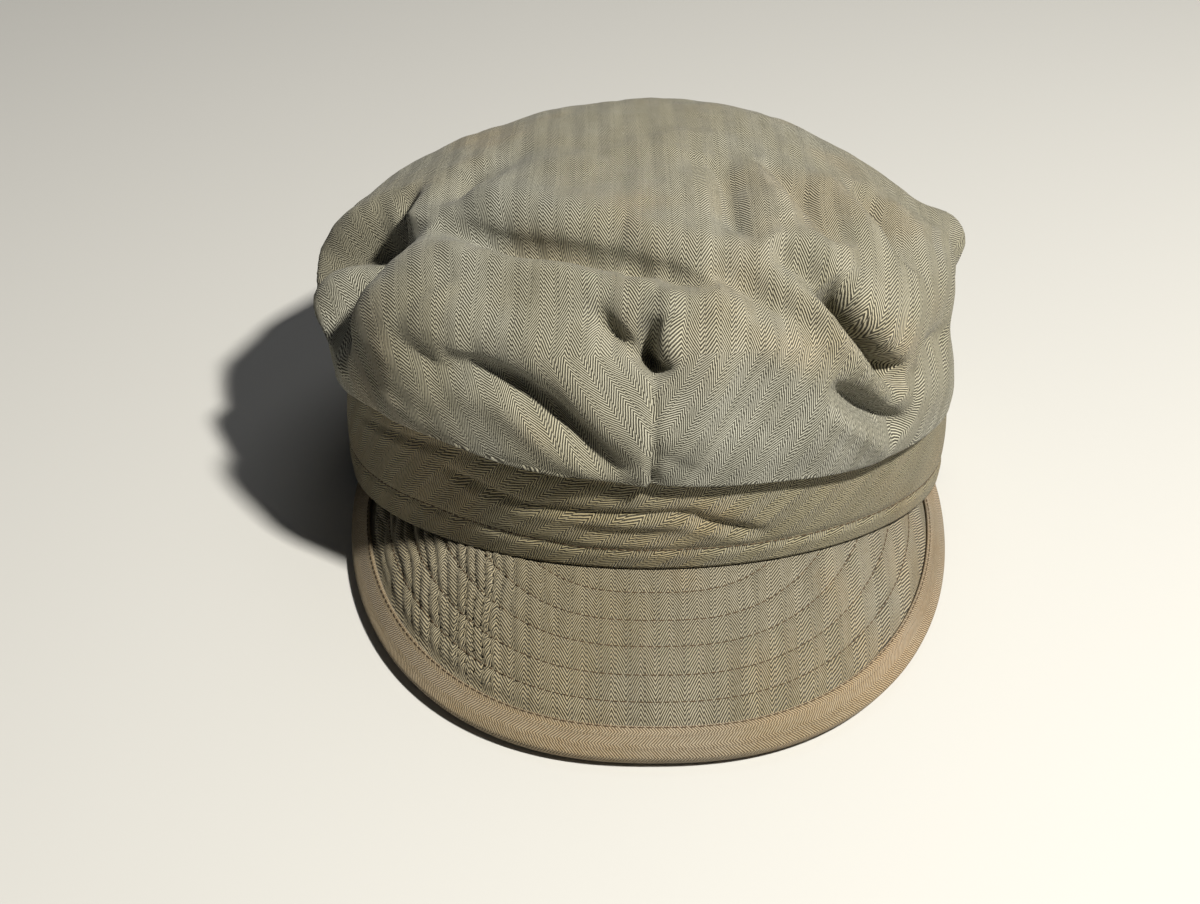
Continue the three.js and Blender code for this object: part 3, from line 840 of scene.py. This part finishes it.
def band_points(azimuths, shares):
    """The band's outer face, slightly full, with its creases, at shares of its height."""
    radius = band_radius(azimuths)
    full = BAND_FULLNESS * np.sin(np.pi * shares)
    up = band_height(azimuths)[:, None] * shares[None, :]
    heights = hem_height(azimuths)[:, None] + up
    form = around_head(radius[:, None] + full[None, :], azimuths[:, None], heights)
    normals = np.repeat(away_from_head(azimuths)[:, None], len(shares), axis=1)
    flat_points, flat_normals = form.reshape(-1, 3), normals.reshape(-1, 3)
    shift = np.zeros_like(flat_points)
    for start_az, start_up, end_az, end_up, width, depth in BAND_CREASES:
        along = np.linspace(start_az, end_az, FOLD_SAMPLES)
        level = np.linspace(start_up, end_up, FOLD_SAMPLES)
        path = around_head(band_radius(along) + BAND_FULLNESS, along, hem_height(along) + level)
        shift += fold_shift(flat_points, flat_normals, path, width, depth, *CREASE_FORM)
    sewn = np.interp(azimuths, *BAND_STITCHES.T)[:, None]
    hem = HEM_HEIGHT * rising(sewn - up, HEM_STEP) - GROOVE_DEPTH * hump(up - sewn, GROOVE_WIDTH)
    form += hem[..., None] * normals
    held = np.sin(np.pi * shares) ** 0.5
    return form + shift.reshape(form.shape) * held[None, :, None]


class CAP_OT_band(bpy.types.Operator):
    """Makes the band round the head opening"""
    bl_idname = "cap.band"
    bl_label = "Band"

    def execute(self, context):
        azimuths = np.linspace(-180, 180, BAND_COLUMNS + 1)
        shares = np.linspace(0, 1, BAND_ROWS)
        points = band_points(azimuths, shares)
        around = np.radians(azimuths) * HEAD_HALF_DEPTH

        def uv(i, j, left):
            return around[i] * MM, shares[j] * BAND_HEIGHT * MM

        band = grid_object("band_cloth", points, uv)
        give_wall(band, BAND_WALL * MM)
        dress(band, "band twill", "band_cloth", "band")
        return {"FINISHED"}


# Peak

PEAK_COLUMNS = 320
PEAK_ROWS = 90
# Step in share to either side at which the peak's slope is taken, and places along its edge
SLOPE_STEP = 0.01
EDGE_SAMPLES = 241
# The cloth is plain within this distance of the edge, under the tape, and over this share at the band
PLAIN_EDGE, PLAIN_EDGE_FADE = 8.5, 2.0
PLAIN_BAND_SHARE = 0.08
# Height of the quilted cloth, depth and width of its stitched channels, and its soft unevenness
QUILT_HEIGHT = 0.3
CHANNEL_DEPTH, CHANNEL_WIDTH = 0.45, 1.0
SOFT_HEIGHT, SOFT_SPACING = 0.15, 9.0
# The puckers: spacing, shift from channel to channel, height, sharpness, how much flatter they are at
# the stitches, sway, and slant towards the left, with the place where it begins and the width over
# which it comes in
PUCKER_SPACING, PUCKER_SHIFT = 3.6, 0.06
PUCKER_HEIGHT, PUCKER_SHARPNESS, SEWN_FLAT = 0.9, 0.4, 0.4
SWAY_LENGTH, SWAY_SPACING = 1.8, 14.0
PUCKER_SLANT, SLANT_FROM, SLANT_OVER = 0.2, -40, 30
# Their strength all over, over the left third, where it calms at the far left, and in one cluster
PUCKERS_ALL = 0.2
PUCKERS_LEFT, LEFT_FROM, LEFT_OVER = 1.6, -26, 18
CALM, CALM_FROM, CALM_OVER = 0.6, -58, 14
PUCKERS_CLUSTER, CLUSTER_PLACE, CLUSTER_WIDTH = 1.2, -44, 6
# Stretch of the weave from front to back
PEAK_WEAVE_STRETCH = 1.15


def peak_form(across, out):
    """The peak's middle surface: across from -1 to 1, outwards from the band (0) to the edge (1)."""
    across, out = np.broadcast_arrays(np.asarray(across, float), np.asarray(out, float))
    azimuth = across * PEAK_END_AZIMUTH
    tuck = BAND_INSIDE + PEAK_TUCK * np.abs(across) ** PEAK_TUCK_FOCUS
    low, high = TAPE_UNDER_BAND
    step = rising(np.abs(across) - low, high - low)
    tape_room = (TAPE_GAP + TAPE_THICKNESS) * step * step * (3 - 2 * step)
    seam_z = hem_height(azimuth) - CLEARANCE - PEAK_THICKNESS / 2 - tape_room
    seam = around_head(head_radius(azimuth) - tuck, azimuth, seam_z)
    turn = across * np.pi / 2
    sideways = np.abs(np.sin(turn) / PEAK_HALF_WIDTH) ** PEAK_ROUNDNESS
    forwards = np.abs(np.cos(turn) / PEAK_REACH) ** PEAK_ROUNDNESS
    reach = (sideways + forwards) ** (-1 / PEAK_ROUNDNESS)
    edge = np.stack([
        SEAT_SHIFT[0] + reach * np.sin(turn),
        SEAT_SHIFT[1] + PEAK_CENTRE_Y - reach * np.cos(turn),
        0 * turn + TAPE_OFFSET,
    ], -1)
    point = seam + (edge - seam) * out[..., None]
    point[..., 2] += PEAK_BULGE * np.sin(np.pi * out) * np.cos(turn)
    return point


def peak_normal(across, out):
    """Upward normals of the peak's middle surface."""
    across, out = np.broadcast_arrays(np.asarray(across, float), np.asarray(out, float))
    right, left = np.minimum(1, across + SLOPE_STEP), np.maximum(-1, across - SLOPE_STEP)
    sideways = peak_form(right, out) - peak_form(left, out)
    outwards = peak_form(across, out + SLOPE_STEP) - peak_form(across, out - SLOPE_STEP)
    return unit(np.cross(outwards, sideways))


def peak_from_edge(points):
    """Distance of each point from the peak's outer edge."""
    edge = peak_form(np.linspace(-1, 1, EDGE_SAMPLES), 1.0)
    return nearest_on_path(points.reshape(-1, 3), edge)[0].reshape(points.shape[:-1])


def peak_relief(points, from_edge):
    """Height of the quilted cloth: channels at the stitch rows, and the puckers of the left third."""
    x = points[..., 0] - SEAT_SHIFT[0]
    rows = np.array(STITCH_ROWS)
    pressed = sum(hump(from_edge - row, CHANNEL_WIDTH) for row in rows)
    channel = np.floor(np.interp(from_edge, rows[::-1], np.arange(len(rows)))).astype(int)
    sway = ripples(points.reshape(-1, 3), SWAY_SPACING, 5.0).reshape(x.shape)
    slant = PUCKER_SLANT * rising(SLANT_FROM - x, SLANT_OVER)
    phase = (x + slant * points[..., 1] + SWAY_LENGTH * sway) / PUCKER_SPACING + PUCKER_SHIFT * channel
    pucker = 1 - np.abs(np.sin(np.pi * phase)) ** PUCKER_SHARPNESS
    left = rising(LEFT_FROM - x, LEFT_OVER) * (1 - CALM * rising(CALM_FROM - x, CALM_OVER))
    cluster = hump(x - CLUSTER_PLACE, CLUSTER_WIDTH)
    strength = PUCKERS_ALL + PUCKERS_LEFT * left + PUCKERS_CLUSTER * cluster
    between = 1 - SEWN_FLAT * pressed
    puckered = strength * between * (0.5 - pucker) * PUCKER_HEIGHT
    soft = ripples(points.reshape(-1, 3), SOFT_SPACING, 2.0).reshape(x.shape)
    return QUILT_HEIGHT - CHANNEL_DEPTH * pressed + puckered + SOFT_HEIGHT * soft


class CAP_OT_peak(bpy.types.Operator):
    """Makes the quilted peak"""
    bl_idname = "cap.peak"
    bl_label = "Peak"

    def execute(self, context):
        across = np.linspace(-1, 1, PEAK_COLUMNS)
        out = np.linspace(1, 0, PEAK_ROWS)
        middle = peak_form(across[:, None], out[None, :])
        normal = peak_normal(across[:, None], out[None, :])
        from_edge = peak_from_edge(middle)
        relief = peak_relief(middle, from_edge)
        past_tape = rising(from_edge - PLAIN_EDGE, PLAIN_EDGE_FADE)
        past_band = rising(out[None, :], PLAIN_BAND_SHARE)
        height = PEAK_THICKNESS / 2 + relief * past_tape * past_band
        points = middle + normal * height[..., None]

        def uv(i, j, left):
            x, y, _ = middle[i, j]
            return x * MM, y * PEAK_WEAVE_STRETCH * MM

        peak = grid_object("peak_cloth", points, uv)
        give_wall(peak, PEAK_THICKNESS * MM)
        dress(peak, "peak twill", "peak_cloth", "peak")
        return {"FINISHED"}


# Tape round the peak's edge

TAPE_COLUMNS = 420
TAPE_LEG_ROWS = 9
TAPE_NOSE_ROWS = 7
# Share of the way out from which the nose takes its direction
NOSE_FROM = 0.95


def tape_shell(across):
    """The tape's outer face: top leg, round nose and bottom leg."""
    edge = peak_form(across, 1.0)
    length = np.linalg.norm(edge - peak_form(across, 0.0), axis=1)
    start = 1 - np.minimum(TAPE_LARGEST_SHARE, TAPE_DEPTH / length)
    above, below = [], []
    for k in range(TAPE_LEG_ROWS + 1):
        out = start + (1 - start) * k / TAPE_LEG_ROWS
        middle, normal = peak_form(across, out), peak_normal(across, out)
        above.append(middle + TAPE_OFFSET * normal)
        below.append(middle - TAPE_OFFSET * normal)
    normal = peak_normal(across, 1.0)
    outwards = unit(edge - peak_form(across, NOSE_FROM))
    reach = TAPE_GAP + TAPE_THICKNESS
    nose = []
    for k in range(1, TAPE_NOSE_ROWS):
        turn = math.pi * k / TAPE_NOSE_ROWS
        up = TAPE_OFFSET * math.cos(turn) * normal
        nose.append(edge + up + reach * math.sin(turn) * outwards)
    return np.stack(below + nose[::-1] + above[::-1], axis=1)


class CAP_OT_tape(bpy.types.Operator):
    """Makes the tape that wraps the peak's edge"""
    bl_idname = "cap.tape"
    bl_label = "Peak tape"

    def execute(self, context):
        across = np.linspace(-1, 1, TAPE_COLUMNS)
        points = tape_shell(across)
        along = lengths_along(points[:, 0])
        over = lengths_along(points[TAPE_COLUMNS // 2])

        def uv(i, j, left):
            return over[j] * MM, along[i] * MM

        tape = grid_object("peak_tape", points, uv)
        give_wall(tape, TAPE_THICKNESS * MM)
        dress(tape, "khaki tape", "tape", "peak_binding")
        return {"FINISHED"}


# Stitches

# A stitch's length as a share of its step, how deep it sinks in, half the length that gives its
# direction, and how far the peak's rows stay from the band
STITCH_SHARE = 0.94
STITCH_SINK = 0.14
STITCH_AIM = 0.5
CLEAR_OF_BAND = 0.6


def place_stitches(mesh, path, normals, step, width):
    """Stitches laid end to end along a path, each a short thread that dips into the cloth at its ends."""
    length = step * STITCH_SHARE
    run = lengths_along(path)
    count = int(run[-1] / step)
    for k in range(count):
        centre_at = (k + 0.5) * step
        centre, ahead, behind, out = (
            np.array([np.interp(place, run, values[:, axis]) for axis in range(3)])
            for place, values in ((centre_at, path), (centre_at + STITCH_AIM, path),
                                  (centre_at - STITCH_AIM, path), (centre_at, normals)))
        forward = unit(ahead - behind)
        out = unit(out - forward * (out @ forward))
        side = np.cross(out, forward)
        turn = Matrix((forward, side, out)).transposed().to_4x4()
        centre = centre + out * (width * 0.5 - STITCH_SINK)
        place = Matrix.Translation(Vector(centre * MM)) @ turn
        size = Matrix.Diagonal((length / 2 * MM, width / 2 * MM, width / 2 * MM, 1))
        bmesh.ops.create_icosphere(mesh, subdivisions=1, radius=1.0, matrix=place @ size)


class CAP_OT_stitches(bpy.types.Operator):
    """Sews the rows of the peak, the band and the tape"""
    bl_idname = "cap.stitches"
    bl_label = "Stitches"

    def execute(self, context):
        step = sizes().stitch_length / MM
        width = sizes().stitch_width / MM
        pieces = (
            ("peak_stitches", "peak_cloth", self.peak_rows()),
            ("band_stitches", "band_cloth", self.band_row()),
            ("tape_stitches", "tape", self.tape_row()),
        )
        for name, slot, paths in pieces:
            mesh = bmesh.new()
            for path, normals in paths:
                place_stitches(mesh, path, normals, step, width)
            dress(finish_mesh(name, mesh), "sewing thread", slot)
        return {"FINISHED"}

    def peak_rows(self):
        """The rows of the peak, each with its normals, where it is far enough in front of the band."""
        across = np.linspace(-0.97, 0.97, 400)
        out = np.linspace(0.02, 1, 120)
        middle = peak_form(across[:, None], out[None, :])
        from_edge = peak_from_edge(middle)
        paths = []
        for row in STITCH_ROWS:
            inside = from_edge[:, 0] > row + CLEAR_OF_BAND
            spot = np.array([np.interp(-row, -from_edge[i], out) for i in range(len(across))])
            place = across[inside], spot[inside]
            surface, normal = peak_form(*place), peak_normal(*place)
            relief = peak_relief(surface[:, None], np.full((len(surface), 1), row))[:, 0]
            height = PEAK_THICKNESS / 2 + relief * rising(place[1], PLAIN_BAND_SHARE)
            paths.append((surface + normal * height[:, None], normal))
        return paths

    def band_row(self):
        """The row along the band's lower edge."""
        azimuths = np.linspace(-180, 180, 721)
        points = band_points(azimuths, np.linspace(0, 1, BAND_ROWS))
        place = np.interp(azimuths, *BAND_STITCHES.T) / band_height(azimuths) * (BAND_ROWS - 1)
        low = place.astype(int)
        ahead = (place - low)[:, None]
        each = np.arange(len(azimuths))
        points = points[each, low] * (1 - ahead) + points[each, low + 1] * ahead
        return [(points, away_from_head(azimuths))]

    def tape_row(self):
        """The row along the tape's inner edge."""
        across = np.linspace(-0.99, 0.99, 400)
        edge = peak_form(across, 1.0)
        length = np.linalg.norm(edge - peak_form(across, 0.0), axis=1)
        out = 1 - np.minimum(TAPE_LARGEST_SHARE - 0.1, TAPE_STITCH_IN / length)
        normal = peak_normal(across, out)
        return [(peak_form(across, out) + TAPE_OFFSET * normal, normal)]


# Stage

VIEW_ELEVATION = 35.0
VIEW_DISTANCE = 600.0
VIEW_ASIDE = 14.0
LENS_PIXELS = 1920.0
PICTURE_WIDTH = 1200.0
SENSOR = 36.0
# In metres: half the floor's side, and the place that the lamps face from the middle of the opening
FLOOR_HALF = 6.0
LIT_PLACE = (0, -0.02, 0.05)
SKY_COLOUR, SKY_STRENGTH = (0.95, 0.97, 1.0), 0.026
# Each soft lamp's azimuth, elevation, distance and side in metres, power in watts and colour
LAMPS = {
    "key": (46, 53.5, 1.3, 0.10, 31.5, (1.0, 0.96, 0.87)),
    "fill": (-10, 40, 1.6, 1.4, 0.2, SKY_COLOUR),
    "back": (160, 60, 1.5, 0.9, 2.5, (1.0, 1.0, 1.0)),
}


def soft_light(name, aim, azimuth, elevation, distance, size, power, colour):
    """A square soft lamp that faces a point."""
    data = bpy.data.lights.new(name, "AREA")
    data.size = size
    data.energy = power
    data.color = colour
    lamp = bpy.data.objects.new(name, data)
    a, e = math.radians(azimuth), math.radians(elevation)
    away = Vector((math.sin(a) * math.cos(e), -math.cos(a) * math.cos(e), math.sin(e)))
    lamp.location = aim + away * distance
    lamp.rotation_euler = away.to_track_quat("Z", "Y").to_euler()
    bpy.context.scene.collection.objects.link(lamp)


class CAP_OT_stage(bpy.types.Operator):
    """Makes the floor, the soft lamps and the camera"""
    bl_idname = "cap.stage"
    bl_label = "Studio"

    def execute(self, context):
        scene = context.scene
        mesh = bmesh.new()
        bmesh.ops.create_grid(mesh, x_segments=1, y_segments=1, size=FLOOR_HALF)
        floor = finish_mesh("floor", mesh)
        new_material("studio floor", {"Base Color": (*colours().floor, 1.0), "Roughness": 0.9})
        floor.data.materials.append(bpy.data.materials["studio floor"])
        aim = Vector((SEAT_SHIFT[0] * MM, SEAT_SHIFT[1] * MM, 0.0))
        for name, lamp in LAMPS.items():
            soft_light(name, aim + Vector(LIT_PLACE), *lamp)
        world = bpy.data.worlds.new("studio")
        world.use_nodes = True
        sky = world.node_tree.nodes["Background"]
        sky.inputs["Color"].default_value = (*SKY_COLOUR, 1.0)
        sky.inputs["Strength"].default_value = SKY_STRENGTH
        scene.world = world
        scene.view_settings.view_transform = "Standard"
        data = bpy.data.cameras.new("camera")
        data.sensor_width = SENSOR
        data.lens = SENSOR * LENS_PIXELS / PICTURE_WIDTH
        data.clip_start = 0.01
        camera = bpy.data.objects.new("camera", data)
        e = math.radians(VIEW_ELEVATION)
        back = Vector((0, -math.cos(e), math.sin(e)))
        camera.location = aim + back * VIEW_DISTANCE * MM + Vector((-VIEW_ASIDE * MM, 0, 0))
        camera.rotation_euler = (math.radians(90 - VIEW_ELEVATION), 0, 0)
        scene.collection.objects.link(camera)
        scene.camera = camera
        return {"FINISHED"}


class CAP_PT_panel(bpy.types.Panel):
    """Lists the steps that make the cap"""
    bl_label = "Field cap"
    bl_idname = "CAP_PT_panel"
    bl_space_type = "VIEW_3D"
    bl_region_type = "UI"
    bl_category = "Cap"

    def draw(self, context):
        for step in STEPS:
            self.layout.operator(step.bl_idname)
        for group in (context.scene.cap_sizes, context.scene.cap_colours):
            for name in group.__annotations__:
                self.layout.prop(group, name)


STEPS = (CAP_OT_stage, CAP_OT_materials, CAP_OT_crown, CAP_OT_band, CAP_OT_peak, CAP_OT_tape,
         CAP_OT_stitches)
CLASSES = (CapSizes, CapColours, *STEPS, CAP_PT_panel)


def register():
    for cls in CLASSES:
        bpy.utils.register_class(cls)
    bpy.types.Scene.cap_sizes = bpy.props.PointerProperty(type=CapSizes)
    bpy.types.Scene.cap_colours = bpy.props.PointerProperty(type=CapColours)


def unregister():
    del bpy.types.Scene.cap_sizes
    del bpy.types.Scene.cap_colours
    for cls in reversed(CLASSES):
        bpy.utils.unregister_class(cls)


def main():
    register()
    bpy.ops.cap.stage()
    bpy.ops.cap.materials()
    bpy.ops.cap.crown()
    bpy.ops.cap.band()
    bpy.ops.cap.peak()
    bpy.ops.cap.tape()
    bpy.ops.cap.stitches()


if __name__ == "__main__":
    main()
